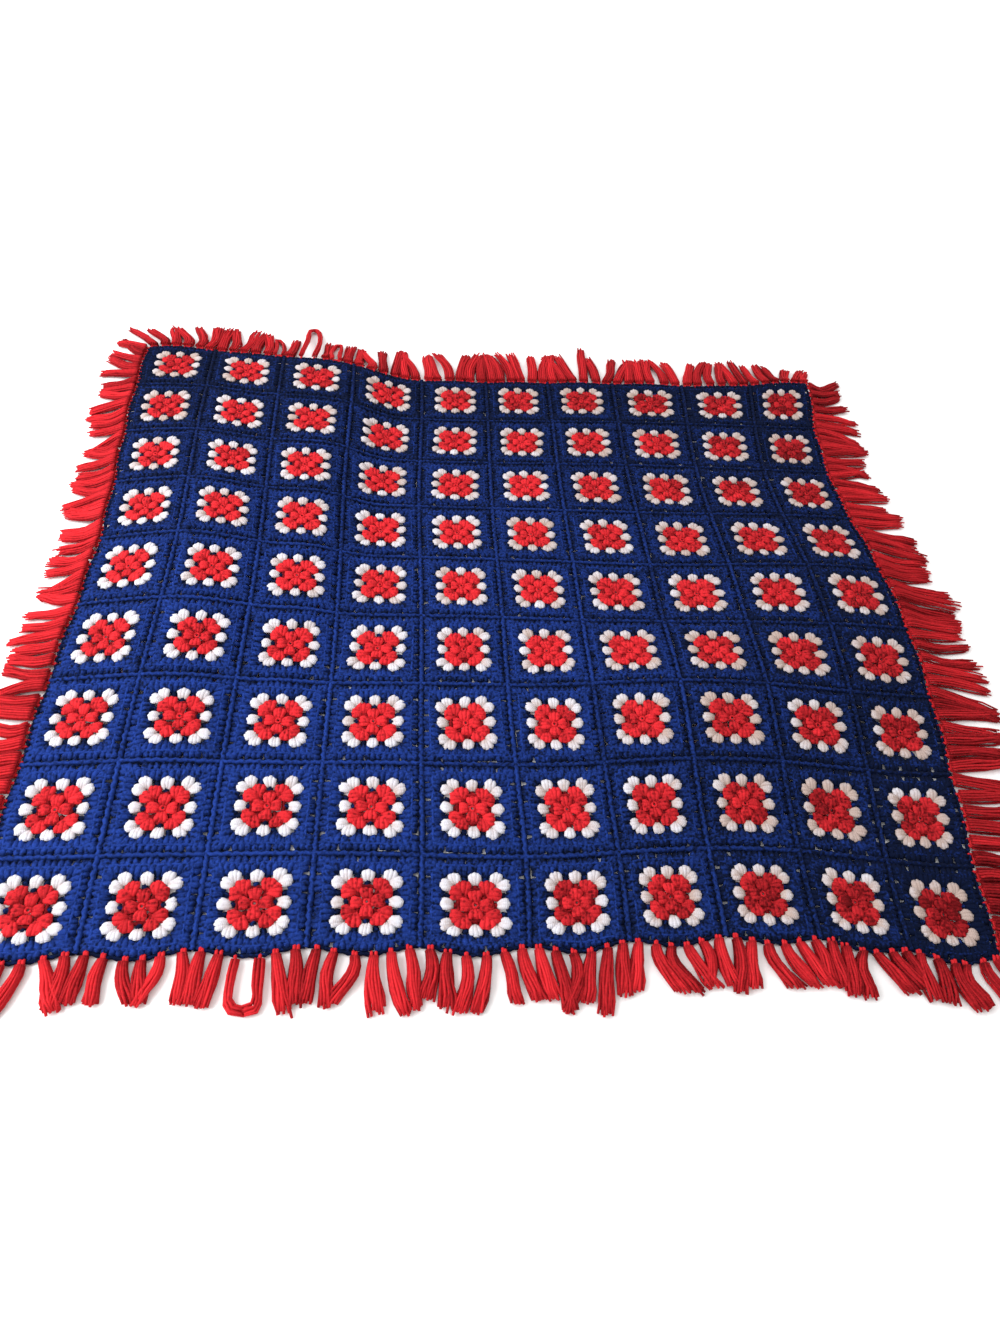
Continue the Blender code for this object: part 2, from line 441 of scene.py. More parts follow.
RED_LIGHT, RED_DEEP = (0.69, 0.024, 0.032), (0.12, 0.003, 0.005)
BLUE_LIGHT, BLUE_DEEP = (0.013, 0.042, 0.250), (0.0015, 0.005, 0.024)
FINISHES = {
    Yarn.RED: YarnFinish("red_yarn_finish", RED_LIGHT, RED_DEEP, 0.06, 0.5, 0.9),
    Yarn.WHITE: YarnFinish("white_yarn_finish", (0.67, 0.66, 0.72), (0.46, 0.35, 0.31), 0.10, 0.2),
    Yarn.BLUE: YarnFinish("blue_yarn_finish", BLUE_LIGHT, BLUE_DEEP, 0.0, 0.5, 1.5),
}
TUFT_FINISH = YarnFinish("red_tuft_finish", RED_LIGHT, RED_DEEP, 0.06, 0.0)


@dataclass
class Strands:
    """Many short lengths of yarn that follow paths of their own, all with as many rings.

    Attributes:
        paths: The middle of each strand at each ring, in the row frame.
        radii: The radius at each ring, of each strand or of all.
        tones: The shade at each ring, of each strand or of all, from 0, light, to 1, deep.
        sides: Corners of a ring.
        flatness: Height of a ring as a share of its width.
    """

    paths: Array
    radii: Array
    tones: Array
    sides: int = 4
    flatness: float = 1.0

    def arrayed(self, name: str) -> tuple[bpy.types.Mesh, Array, Array]:
        """As many straight strands as there are paths, in one mesh, all of radius one.

        Args:
            name: Name of the mesh.

        Returns:
            The mesh, and the level and the angle of each point of one strand.
        """
        rings = self.paths.shape[1]
        bm = bmesh.new()
        uv = bm.loops.layers.uv.new("strand")
        form = {"segments": self.sides, "radius1": 1.0, "radius2": 1.0, "depth": rings - 1}
        bmesh.ops.create_cone(bm, cap_ends=True, **form)
        upright = [edge for edge in bm.edges if abs(edge.verts[0].co.z - edge.verts[1].co.z) > 0.5]
        bmesh.ops.subdivide_edges(bm, edges=upright, cuts=rings - 2)
        bmesh.ops.translate(bm, vec=(0, 0, (rings - 1) / 2), verts=bm.verts[:])
        for face in bm.faces:
            turns = [math.atan2(loop.vert.co.y, loop.vert.co.x) / math.tau for loop in face.loops]
            wraps = max(turns) - min(turns) > 0.5 and abs(face.normal.z) < 0.5
            for loop, turn in zip(face.loops, turns):
                around = turn + 1 if wraps and turn < 0 else turn
                loop[uv].uv = (around, loop.vert.co.z / (rings - 1))
        levels = np.array([vert.co.z for vert in bm.verts])
        angles = np.array([math.atan2(vert.co.y, vert.co.x) for vert in bm.verts])
        single = bpy.data.meshes.new(name + "_strand")
        bm.to_mesh(single)
        bm.free()
        carrier = add_object(name + "_strand", single)
        array = carrier.modifiers.new("repeat", "ARRAY")
        array.count = len(self.paths)
        array.use_relative_offset = False
        array.use_constant_offset = True
        array.constant_offset_displace = (0.0, 0.0, float(rings))
        graph = bpy.context.evaluated_depsgraph_get()
        mesh = bpy.data.meshes.new_from_object(carrier.evaluated_get(graph))
        bpy.data.objects.remove(carrier)
        bpy.data.meshes.remove(single)
        mesh.name = name
        return mesh, np.rint(levels).astype(int), angles

    def mesh(self, name: str) -> bpy.types.Mesh:
        """Bend the arrayed strands along their paths.

        Args:
            name: Name of the mesh.

        Returns:
            A mesh with a tone attribute and a UV map whose V counts plies.
        """
        mesh, levels, angles = self.arrayed(name)
        along = unit(np.gradient(self.paths, axis=1))
        sideways = unit(np.cross(UP, along))
        over = np.cross(along, sideways)
        radii = np.broadcast_to(self.radii, self.paths.shape[:2])[:, levels][..., None]
        spread = np.cos(angles)[None, :, None] * sideways[:, levels]
        raised = np.sin(angles)[None, :, None] * over[:, levels] * self.flatness
        points = self.paths[:, levels] + radii * (spread + raised)
        mesh.vertices.foreach_set("co", points.reshape(-1).astype(np.float32))
        tone = mesh.attributes.new("tone", "FLOAT", "POINT")
        tones = np.broadcast_to(self.tones, self.paths.shape[:2])[:, levels]
        tone.data.foreach_set("value", tones.reshape(-1).astype(np.float32))
        layer = mesh.uv_layers["strand"].data
        coords = np.empty(len(layer) * 2, np.float32)
        layer.foreach_get("uv", coords)
        coords = coords.reshape(len(self.paths), -1, 2)
        steps = np.linalg.norm(np.diff(self.paths, axis=1), axis=-1).sum(axis=1)
        coords[..., 1] *= (steps / PLY_PITCH)[:, None]
        layer.foreach_set("uv", coords.reshape(-1))
        mesh.polygons.foreach_set("use_smooth", np.ones(len(mesh.polygons), bool))
        mesh.update()
        return mesh


def piece(
    name: str,
    yarn: Yarn,
    groups: list[Strands],
    *nodes: str,
    finish: bpy.types.Material | None = None,
) -> bpy.types.Object:
    """Make one piece of the blanket from groups of strands.

    Args:
        name: Name of the piece.
        yarn: The yarn that it is made of.
        groups: Its strands, joined in this order.
        nodes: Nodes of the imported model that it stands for.
        finish: Its material, where it isn't the yarn's usual one.

    Returns:
        The piece, riding on the blanket.
    """
    joined = bmesh.new()
    for number, group in enumerate(groups):
        part = group.mesh(f"{name}_{number}")
        joined.from_mesh(part)
        bpy.data.meshes.remove(part)
    mesh = bpy.data.meshes.new(name)
    joined.to_mesh(mesh)
    joined.free()
    mesh.materials.append(finish or MATERIALS[yarn])
    made = add_object(name, mesh)
    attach(made, BODY)
    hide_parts(*nodes)
    triangles = sum(len(face.vertices) - 2 for face in mesh.polygons)
    LOG.info("%s: %d triangles", name, triangles)
    return made


MATERIALS = {yarn: finish.material() for yarn, finish in FINISHES.items()}


@dataclass(frozen=True)
class Shades:
    """How the shades of one yarn vary, from 0, light, to 1, deep; apart from random differences they
    hold painted light falloff.

    Attributes:
        even: The middle shade.
        spread: How far shades vary from one to the next.
        east: Painted light falloff, how much deeper it is at the right edge.
        north: Painted light falloff, how much deeper it is at the far edge.
        edges: Painted light falloff, how much deeper it is at every edge.
        corners: Painted light falloff, how much deeper it is at the near right and far left corners.
    """

    even: float
    spread: float
    east: float = 0.0
    north: float = 0.0
    edges: float = 0.0
    corners: float = 0.0


@dataclass(frozen=True)
class Cluster:
    """How one round's clusters are worked, in millimetres, from their feet to their tops.

    Attributes:
        rings: Rings of a post.
        sides: Corners of a ring.
        half: Distance of the outer posts from the middle one, at LEVELS.
        radius: Radius of a post, at LEVELS.
        lift: Height over the cloth's underside, at LEVELS.
        tuck: How far the feet reach in under the round before.
        shoulder: How far short of the middle post the outer ones end.
        closing: How much narrower it is at the left edge, or, below zero, at the right.
        corner: How far in from the last round's corners a corner's foot is.
        short: How far short of the round's edge the tops end.
        flatness: Height of a post as a share of its width.
        feet: How much painted shade darkens the feet, where they tuck under the round before.
        ends: How much painted shade darkens the tops, as in the grooves by the seams.
    """

    rings: int
    sides: int
    half: tuple[float, float, float, float]
    radius: tuple[float, float, float, float]
    lift: tuple[float, float, float, float]
    tuck: float
    shoulder: float = 0.7
    closing: float = 0.12
    corner: float = 8.0
    short: float = 0.6
    flatness: float = 1.0
    feet: float = 0.6
    ends: float = 0.0


LEVELS = (0.0, 0.35, 0.7, 1.0)
THIN, PLUMP = (3.0, 4.3, 4.8, 4.0), (3.0, 4.6, 5.3, 4.2)
FULL, SLIM = (3.8, 5.6, 6.0, 5.4), (3.6, 5.2, 5.6, 4.8)
WIDE = (5.0, 7.7, 8.7, 8.5)
LOW = (1.6, 3.7, 4.1, 3.2)
FLAT = {"closing": 0.14, "flatness": 0.78}
SOFT = {"closing": -0.10, "flatness": 0.65}
ROUNDS = {
    1: Cluster(4, 5, (3.2, 4.8, 6.2, 6.0), THIN, LOW, 4.5, feet=0.1, **FLAT),
    2: Cluster(4, 5, (3.0, 5.0, 7.0, 6.6), THIN, LOW, 7.5, feet=0.2, corner=6.6, **FLAT),
    3: Cluster(5, 5, (2.6, 4.0, 4.7, 4.2), PLUMP, (1.8, 4.2, 4.7, 3.6), 5.5, 1.6, 0.0, flatness=0.8),
    4: Cluster(4, 4, WIDE, FULL, (1.6, 3.6, 4.6, 3.8), 6.5, **SOFT),
    5: Cluster(4, 4, WIDE, SLIM, (1.6, 4.0, 4.4, 3.2), 12.0, short=4.0, ends=0.6, **SOFT),
}


@dataclass(frozen=True)
class Chances:
    """Spreads of the chance differences of squares, clusters, posts and their rings.

    The twist is in degrees, and the size, width, thickness and swell are shares.
    """

    twist: float = 1.5
    size: float = 0.015
    offset: float = 1.3
    foot: float = 0.6
    top: float = 0.9
    width: float = 0.04
    height: float = 0.25
    wander: float = 0.35
    chain: float = 0.3
    thickness: float = 0.05
    swell: float = 0.04
    shade: float = 0.05


def shade_at(flat: Array, shades: Shades) -> Array:
    """The middle shade of a yarn at places of the flat field: painted light falloff by place.

    Args:
        flat: Places of the flat field, x and y last.
        shades: The yarn's shades.

    Returns:
        The shade at each place, from 0, light, to 1, deep.
    """
    east, north = np.moveaxis(flat / HALF_FIELD, -1, 0)
    straight = shades.even + shades.east * east + shades.north * north
    return straight + shades.edges * (east**2 + north**2) - shades.corners * east * north


@dataclass
class SquarePattern:
    """The plan of one square: rounds of clusters worked into the spaces of the round before.

    Lengths are in millimetres. A round's number is the number of clusters on each side.
    """

    ring: float = 3.8
    ring_lift: float = 3.8
    ring_radius: float = 2.2
    heart: float = 9.5
    round_height: float = 13.1
    spacing: float = 28.2
    corner_shift: float = 2.5
    stitch: float = 6.85
    bulge: float = 0.12
    space_half: float = 4.5
    space_radii: Place = (3.2, 4.8, 4.2)

    def reach(self, number: int) -> float:
        """Distance of a round's outer edge from the centre."""
        return self.heart + number * self.round_height

    def axes(self, number: int) -> tuple[Array, Array]:
        """Feet and tops of a round's clusters.

        Args:
            number: Number of the round.

        Returns:
            The foot and the top of each cluster of one side, along and out from the centre.
        """
        cluster = ROUNDS[number]
        inner = self.reach(number - 1)
        feet, tops = [], []
        for place in range(number):
            top = foot = (place - (number - 1) / 2) * self.spacing
            if number > 1 and place in (0, number - 1):
                foot = math.copysign(inner - cluster.corner, top)
                top += math.copysign(self.corner_shift, top)
            feet.append((foot, inner - cluster.tuck))
            tops.append((top, self.reach(number) - cluster.short))
        return np.array(feet), np.array(tops)


def turned(points: Array) -> Array:
    """Copies of points for the four sides of a square.

    Args:
        points: Places along and out from the centre of one side, in the last axis.

    Returns:
        The places for each side, with the side as the first axis.
    """
    along, out = points[..., 0], points[..., 1]
    sides = ((along, out), (out, -along), (-along, -out), (-out, along))
    return np.stack([np.stack(side, axis=-1) for side in sides])


@dataclass
class SquareField:
    """All the squares, laid in ten columns and nine rows."""

    drape: Drape
    pattern: SquarePattern
    chance: np.random.Generator
    chances: Chances = Chances()

    def __post_init__(self) -> None:
        """Settle each square's centre and its own small skew."""
        across = (np.arange(SQUARES_ACROSS) - (SQUARES_ACROSS - 1) / 2) * PITCH
        deep = (np.arange(SQUARES_DEEP) - (SQUARES_DEEP - 1) / 2) * PITCH
        east, north = np.meshgrid(across, deep)
        self.centres = np.stack((east.ravel(), north.ravel()), axis=-1)
        count = len(self.centres)
        self.twist = np.radians(self.chance.normal(0, self.chances.twist, count))
        self.size = self.chance.normal(1, self.chances.size, count)
        self.offset = self.chance.normal(0, self.chances.offset, (count, 2))

    def placed(self, local: Array, lift: Array | float) -> Array:
        """Lay the points of every square.

        Args:
            local: Places from each square's centre, in millimetres, square by square.
            lift: Height of each place over the cloth's underside, in millimetres.

        Returns:
            The places in the row frame.
        """
        edge = np.abs(local).max(axis=-1) / self.pattern.reach(len(ROUNDS))
        loose = np.clip(1 - edge**2, 0, 1)[..., None]
        shape = (len(local),) + (1,) * (local.ndim - 2)
        twist = self.twist.reshape(shape)
        cos, sin = np.cos(twist), np.sin(twist)
        x, y = local[..., 0], local[..., 1]
        spun = np.stack((x * cos - y * sin, x * sin + y * cos), axis=-1)
        spun = spun * self.size.reshape((*shape, 1)) + self.offset.reshape((*shape, 2))
        moved = local + (spun - local) * loose
        flat = moved * MM + self.centres.reshape((*shape, 2))
        return self.drape.laid(flat, lift * MM)

    def round_area(self, number: int) -> float:
        """Flat area of one round in all squares, its tucked feet included."""
        inner = self.pattern.reach(number - 1) - ROUNDS[number].tuck
        return len(self.centres) * ((2 * MM * self.pattern.reach(number)) ** 2 - (2 * MM * inner) ** 2)

    def tones(self, count: int, shades: Shades) -> Array:
        """Shades for the strands or clusters of every square: painted light falloff by place, with
        random differences.

        Args:
            count: How many each square has.
            shades: The yarn's shades.

        Returns:
            The shades, square by square.
        """
        own = self.chance.normal(0, shades.spread / 2, len(self.centres))
        each = self.chance.normal(0, shades.spread, (len(self.centres), count))
        middle = shade_at(self.centres, shades) + own
        return np.clip(middle[:, None] + each, 0, 1)

    def posts(self, number: int, shades: Shades) -> Strands:
        """The posts of one round's clusters, three to a cluster.

        Args:
            number: Number of the round.
            shades: The yarn's shades.

        Returns:
            The posts of all squares.
        """
        cluster, chances = ROUNDS[number], self.chances
        feet, tops = self.pattern.axes(number)
        every = (len(self.centres), 4 * number, 2)
        feet = turned(feet).reshape(every[1:]) + self.chance.normal(0, chances.foot, every)
        tops = turned(tops).reshape(every[1:]) + self.chance.normal(0, chances.top, every)
        outward = np.repeat(turned(np.array((0.0, 1.0))), number, axis=0)
        sideways = np.stack((outward[:, 1], -outward[:, 0]), axis=-1)
        toward = -math.copysign(1.0, cluster.closing) * self.centres[:, 0]
        width = 1 - abs(cluster.closing) * np.clip(2.2 * toward - 0.4, 0, 1)[:, None]
        width = width * self.chance.normal(1, chances.width, every[:2])
        level = np.linspace(0, 1, cluster.rings)
        measures = (cluster.half, cluster.lift, cluster.radius)
        half, lift, radius = (np.interp(level, LEVELS, measure) for measure in measures)
        which = np.array((-1.0, 0.0, 1.0))
        axis = feet[:, :, None] * (1 - level[:, None]) + tops[:, :, None] * level[:, None]
        beside = which[:, None] * half * width[:, :, None, None]
        local = axis[:, :, None] + beside[..., None] * sideways[:, None, None]
        drop = cluster.shoulder * np.abs(which)[:, None] * level
        local = local - drop[..., None] * outward[:, None, None]
        height = lift + 0.5 * (1 - np.abs(which))[:, None]
        height = height + self.chance.normal(0, chances.height, local.shape[:-2])[..., None]
        local = local + self.chance.normal(0, chances.wander, local.shape)
        paths = self.placed(local, height).reshape(-1, cluster.rings, 3)
        swell = self.chance.normal(1, chances.thickness, (len(paths), 1))
        swell = swell * self.chance.normal(1, chances.swell, (len(paths), cluster.rings))
        shade = self.tones(4 * number, shades)
        shade = np.repeat(shade.reshape(-1), 3) + self.chance.normal(0, chances.shade, len(paths))
        # Painted shade: deeper at the feet, tucked under the round before, and at the tops by the
        # seams.
        shade = shade[:, None] + cluster.feet * (1 - level) ** 1.5 + cluster.ends * level**6
        return Strands(paths, radius * MM * swell, shade, cluster.sides, cluster.flatness)

    def chains(
        self, number: int, shades: Shades, lift: float, radius: float, inset: float = 2.3
    ) -> Strands:
        """The chain that tops one round, a strand for each side of each square.

        Args:
            number: Number of the round.
            shades: The yarn's shades.
            lift: Height over the cloth's underside, in millimetres.
            radius: Radius of the chain, in millimetres.
            inset: How far in from the round's edge it lies, in millimetres.

        Returns:
            The chains of all squares.
        """
        reach = self.pattern.reach(number)
        rings = round(2 * reach / self.pattern.stitch) + 1
        along = np.linspace(-1, 1, rings) * (reach - 2.0)
        by_turns = (-1.0) ** np.arange(rings)
        corner = np.exp(-(((reach - np.abs(along)) / 5.0) ** 2))
        out = reach - inset + 0.6 * by_turns - 2.2 * corner
        local = turned(np.stack((along, out), axis=-1))
        cluster = np.cos(math.tau * (along / self.pattern.spacing - (number - 1) / 2))
        height = lift + 0.5 * cluster - 0.4 * corner
        every = (len(self.centres), *local.shape)
        local = local + self.chance.normal(0, self.chances.chain, every)
        paths = self.placed(local, height).reshape(-1, rings, 3)
        radii = radius * MM * (1 + self.pattern.bulge * by_turns)
        return Strands(paths, radii, self.tones(4, shades).reshape(-1, 1))

    def spaces(
        self,
        places: tuple[Pair, ...],
        shades: Shades,
        lift: float = 1.8,
        right_end: float = math.inf,
    ) -> Strands:
        """Short strands low down in the spaces between clusters, deep in tone as painted shadow in the
        holes.

        Args:
            places: The middle of each space of one side.
            shades: The yarn's shades.
            lift: Height over the cloth's underside, in millimetres.
            right_end: How far to the right the squares lie that have it, in metres.

        Returns:
            A short strand that runs outward for each space of each side.
        """
        middle = turned(np.array(places)).reshape(-1, 2)
        half = self.pattern.space_half
        local = middle[:, None] + unit(middle)[:, None] * np.array((-half, 0.0, half))[:, None]
        local = np.broadcast_to(local, (len(self.centres), *local.shape))
        worked = self.centres[:, 0] < right_end
        paths = self.placed(local, lift)[worked].reshape(-1, 3, 3)
        tones = self.tones(len(middle), shades)[worked].reshape(-1, 1)
        return Strands(paths, np.array(self.pattern.space_radii) * MM, tones, flatness=0.5)

    def hearts(self, shades: Shades) -> Strands:
        """The small ring at the middle of each square, from which its rounds start.

        Args:
            shades: The yarn's shades.

        Returns:
            The rings of all squares.
        """
        turn = np.linspace(0, math.tau, 9)
        local = self.pattern.ring * np.stack((np.cos(turn), np.sin(turn)), axis=-1)
        local = np.broadcast_to(local, (len(self.centres), *local.shape))
        paths = self.placed(local, self.pattern.ring_lift)
        return Strands(paths, np.array(self.pattern.ring_radius * MM), self.tones(1, shades))


@dataclass
class Joins:
    """The raised seams that join the squares, measured in millimetres."""

    drape: Drape
    chance: np.random.Generator
    stitches: int = 22
    ridge_lift: float = 5.8
    ridge_radius: float = 3.8
    zigzag: float = 0.9
    uneven: float = 0.25
    bulge: float = 0.12
    whips_per_seam: int = 10
    whip_reach: float = 4.4
    whip_slant: float = 1.8
    whip_lift: Place = (3.2, 5.2, 3.2)
    whip_radius: Place = (1.4, 2.1, 1.4)

    def lines(self) -> tuple[Array, Array]:
        """Find the seams between two squares.

        Returns:
            Their starts and their ends in the flat field.
        """
        columns, rows = range(SQUARES_ACROSS), range(SQUARES_DEEP)
        level = [(column, row, PITCH, 0) for row in rows[1:] for column in columns]
        upright = [(column, row, 0, PITCH) for column in columns[1:] for row in rows]
        found = np.array(level + upright)[:, None]
        starts = found[..., :2] * PITCH - HALF_FIELD
        return starts, starts + found[..., 2:]

    def ridges(self, shades: Shades) -> Strands:
        """A raised strand along every seam.

        Args:
            shades: The yarn's shades.

        Returns:
            The strands, one for each seam.
        """
        by_turns = (-1.0) ** np.arange(self.stitches + 1)
        starts, ends = self.lines()
        flats = starts + (ends - starts) * np.linspace(0, 1, len(by_turns))[:, None]
        way = unit(flats[:, -1:] - flats[:, :1])
        sideways = np.stack((-way[..., 1], way[..., 0]), axis=-1)
        tones = shade_at(flats, shades)
        tones = tones + self.chance.normal(0, shades.spread, (len(flats), 1))
        flats = flats + sideways * (self.zigzag * MM * by_turns)[:, None]
        uneven = self.chance.normal(0, self.uneven * MM, flats.shape[:2])
        paths = self.drape.laid(flats, self.ridge_lift * MM + uneven)
        radii = self.ridge_radius * MM * (1 + self.bulge * by_turns)
        return Strands(paths, radii, tones, flatness=0.6)

    def whips(self, shades: Shades) -> Strands:
        """The slanted stitches that cross the seams under the ridge.

        Args:
            shades: The yarn's shades.

        Returns:
            The stitches of all seams.
        """
        share = (np.arange(self.whips_per_seam) + 0.5) / self.whips_per_seam
        starts, ends = self.lines()
        way = (ends - starts) / PITCH
        reach = np.stack((-way[..., 1], way[..., 0]), axis=-1) * self.whip_reach * MM
        slant = way * self.whip_slant * MM
        middle = starts + (ends - starts) * share[:, None]
        stitches = (middle - reach - slant, middle, middle + reach + slant)
        flats = np.stack(stitches, axis=2).reshape(-1, 3, 2)
        laid = self.drape.laid(flats, np.array(self.whip_lift) * MM)
        tones = shade_at(flats, shades) + self.chance.normal(0, shades.spread, (len(laid), 1))
        return Strands(laid, np.array(self.whip_radius) * MM, tones)


@dataclass(frozen=True)
class Tuft:
    """One tuft of the fringe as it lies, with half the opening of a loop in millimetres."""

    root: Array
    way: Array
    along: Array
    length: float
    lean: float
    opening: float
    tone: float
    sway: float
    spread: float
    curl: float

    @property
    def leg(self) -> float:
        """Half the width of a loop's leg, in millimetres."""
        return 3.0 + 0.7 * self.opening


@dataclass(frozen=True)
class Looseness:
    """Spreads of the chance differences of tufts, strands and knots, or least and greatest.

    Root, wave, knot and reach are in millimetres, and group length, spread and strand shares.
    """

    length: float = 0.006
    group_length: float = 0.06
    group_lean: float = 0.008
    lean: float = 0.004
    root: float = 1.6
    sway: float = 0.003
    spread: Pair = (0.7, 1.2)
    curl: float = 0.007
    wave: Pair = (0.6, 3.2)
    strand: float = 0.04
    tone: float = 0.12
    knot: float = 0.9
    reach: Pair = (2.5, 6.0)


@dataclass
class Fringe:
    """One side's knotted fringe: a tuft of cut strands for every lock of the side."""

    side: Side
    drape: Drape
    chances: Looseness = Looseness()
    # The tufts' painted light falloff by place, with random differences.
    shades: Shades = Shades(0.04, 0.12, east=0.07, edges=0.14, corners=0.07)
    locks_per_square: int = 6
    strands: int = 15
    strand_radius: float = 2.2
    end_width: float = 10.5
    crown: float = 4.0
    # Painted shade at a tuft's edges, in the valleys between bundles.
    edge_tone: float = 0.36
    gather: float = 0.008
    lean_waves: tuple[Pair, ...] = ((0.008, 7.3), (0.002, 3.7))
    corner_fan: float = 0.50
    corner_fan_locks: float = 4

    def rim(self) -> tuple[Array, Array]:
        """The rim's points between the locks, and the level way in which each lock lies.

        Returns:
            The points, one more than the locks, and ways between the rim's and the side's own.
        """
        share = np.linspace(0, 1, self.side.squares * self.locks_per_square + 1)[:, None]
        start, end = self.side.corners
        points = self.drape.laid(start * (1 - share) + end * share)
        along = np.gradient(points, axis=0)
        ways = unit(np.stack((along[:, 1], -along[:, 0], np.zeros(len(along))), axis=-1))
        walked = self.side.along
        straight = np.array((walked[1], -walked[0], 0.0)) * self.side.square
        return points, unit(unit(ways[:-1] + ways[1:]) * (1 - self.side.square) + straight)

    def lean_of(self, lock: int, locks: int) -> float:
        """How far a lock's end lies along its side from square out of its knot.

        Args:
            lock: Number of the lock.
            locks: How many locks the side has.

        Returns:
            The distance along the side.
        """
        lean = self.side.lean
        for height, wave_locks in self.lean_waves:
            lean += height * math.sin(math.tau * lock / wave_locks + self.side.phase)
        for from_corner, way in ((lock, -1), (locks - 1 - lock, 1)):
            fan = self.side.length * self.corner_fan
            lean += way * fan * max(0, 1 - from_corner / self.corner_fan_locks)
        return lean

    def opening_of(self, lock: int) -> float:
        """Half the opening of a lock left uncut, in millimetres, or 0."""
        return UNCUT_TUFTS.get((self.side.name, lock), 0.0)

    def groups(self, locks: int, loose: random.Random) -> list[Pair]:
        """How the locks lie together in groups of one to four, each leaning its own way.

        Args:
            locks: How many locks the side has.
            loose: Where the chances come from.

        Returns:
            The further lean of each lock, and its length as a share of the usual one.
        """
        found = []
        while len(found) < locks:
            size = loose.choice((1, 2, 3, 3, 4))
            lean = loose.gauss(0, self.chances.group_lean)
            share = loose.gauss(1, self.chances.group_length)
            for place in range(size):
                found.append((lean - (place - (size - 1) / 2) * self.gather, share))
        middle = [math.sin(math.pi * (lock + 0.5) / locks) ** 2 for lock in range(locks)]
        more = self.side.middle
        return [(lean, share * (1 + more * part)) for (lean, share), part in zip(found, middle)]

    def strand(self, tuft: Tuft, number: int, loose: random.Random) -> tuple[Array, Array]:
        """One strand of a tuft.

        Args:
            tuft: The tuft.
            number: Number of the strand.
            loose: Where the chances come from.

        Returns:
            Its path, and its shade at each ring.
        """
        share = (number + 0.5) / self.strands * 2 - 1
        wave = loose.uniform(*self.chances.wave) * MM
        phase = loose.uniform(0, math.tau)
        length = tuft.length * (0.98 + loose.gauss(0, self.chances.strand))
        tone = tuft.tone + loose.gauss(0, self.chances.tone)
        if tuft.opening:
            beside = math.copysign(tuft.opening, share) * PARTED + share * (tuft.leg * THINNED)
            length = tuft.length - (1 - abs(share)) * tuft.leg * MM
            run = np.sin(math.pi / 2 * RINGS)
        else:
            beside = share * (self.side.root * (1 - OPENED) + self.end_width * OPENED)
            # Painted shade: the strands at a tuft's edges deeper.
            tone += self.edge_tone * share**2
            run = RINGS
        beside = beside * MM * (1 + (tuft.spread - 1) * RINGS)
        beside = beside + wave * np.sin(math.tau * 1.1 * RINGS + phase) * RINGS
        beside = beside + tuft.lean * RINGS**1.3 + tuft.curl * RINGS**2
        beside = beside + tuft.sway * np.sin(1.4 * math.pi * RINGS)
        out = 3.5 * MM + math.sqrt(max(length**2 - tuft.lean**2, length**2 / 4)) * run
        layer = LAYERS[number % 3] * STACKED
        ground = self.strand_radius * MM * (1.0 + 1.2 * layer)
        ground += (1 - share**2) * self.crown * MM * CROWNED
        ripple = np.maximum(0, np.sin(math.tau * RINGS + phase)) * 1.2 * MM * RINGS
        path = tuft.root[None] * np.array((1, 1, 0)) + tuft.way * out[:, None]
        path = path + tuft.along * beside[:, None]
        path[:, 2] = tuft.root[2] * HELD_UP + ground + RAISED + ripple
        # Painted shade near the knot: deeper at the roots, most where the knots are narrow.
        depth = 0.35 if self.side.tight else 0.12
        return path, tone + np.interp(RINGS, (0, 0.2, 1), (depth, 0.1, 0.0))

    def knot(self, tuft: Tuft, loose: random.Random) -> list[Array]:
        """The two loops that hold a tuft to the rim, and the bar across them.

        Args:
            tuft: The tuft. A wide loop has no bar.
            loose: Where the chances come from.

        Returns:
            The paths of its strands.
        """
        low, half = (1.0, 2.0) if self.side.tight else (0.6, self.side.root * 0.55)
        wide = tuft.opening > WIDE_LOOP
        held = 1.5 + 1.2 * tuft.opening if wide else half
        found = []
        for offset in (-held, held):
            shift = (offset + loose.gauss(0, self.chances.knot)) * MM
            reach = loose.uniform(*self.chances.reach) * low
            steps = np.array(((6.5, 2.0), (3.2, 5.2), (-reach / 2, 6.4), (-reach, 3.6))) * MM
            path = tuft.root + tuft.way * steps[:, :1] + tuft.along * shift
            found.append(path + UP * steps[:, 1:] * low)
        if not wide:
            along = tuft.along * (BAR * (half + 2.6) * MM)[:, None]
            rise = UP * (BAR_RISE * MM * low)[:, None]
            found.append(tuft.root + tuft.way * 5.0 * MM + along + rise)
        return found

    def tufts(self) -> tuple[Strands, Strands]:
        """The strands of every lock, and the knots that hold them to the rim.

        Returns:
            The two groups.
        """
        chance = random.Random(self.side.name)
        loose = random.Random(self.side.name + "_loose")
        chances = self.chances
        points, ways = self.rim()
        groups = self.groups(len(ways), loose)
        strands, knots = [], []
        for lock, way in enumerate(ways):
            along = np.array((-way[1], way[0], 0.0))
            length = self.side.length + chance.uniform(-1, 1) * chances.length
            length *= groups[lock][1] * LONG_TUFTS.get((self.side.name, lock), 1.0)
            lean = self.lean_of(lock, len(groups)) + groups[lock][0] + loose.gauss(0, chances.lean)
            root = (points[lock] + points[lock + 1]) / 2 + along * loose.gauss(0, chances.root * MM)
            opening = self.opening_of(lock)
            if opening > WIDE_LOOP:
                root = points[lock + 1]
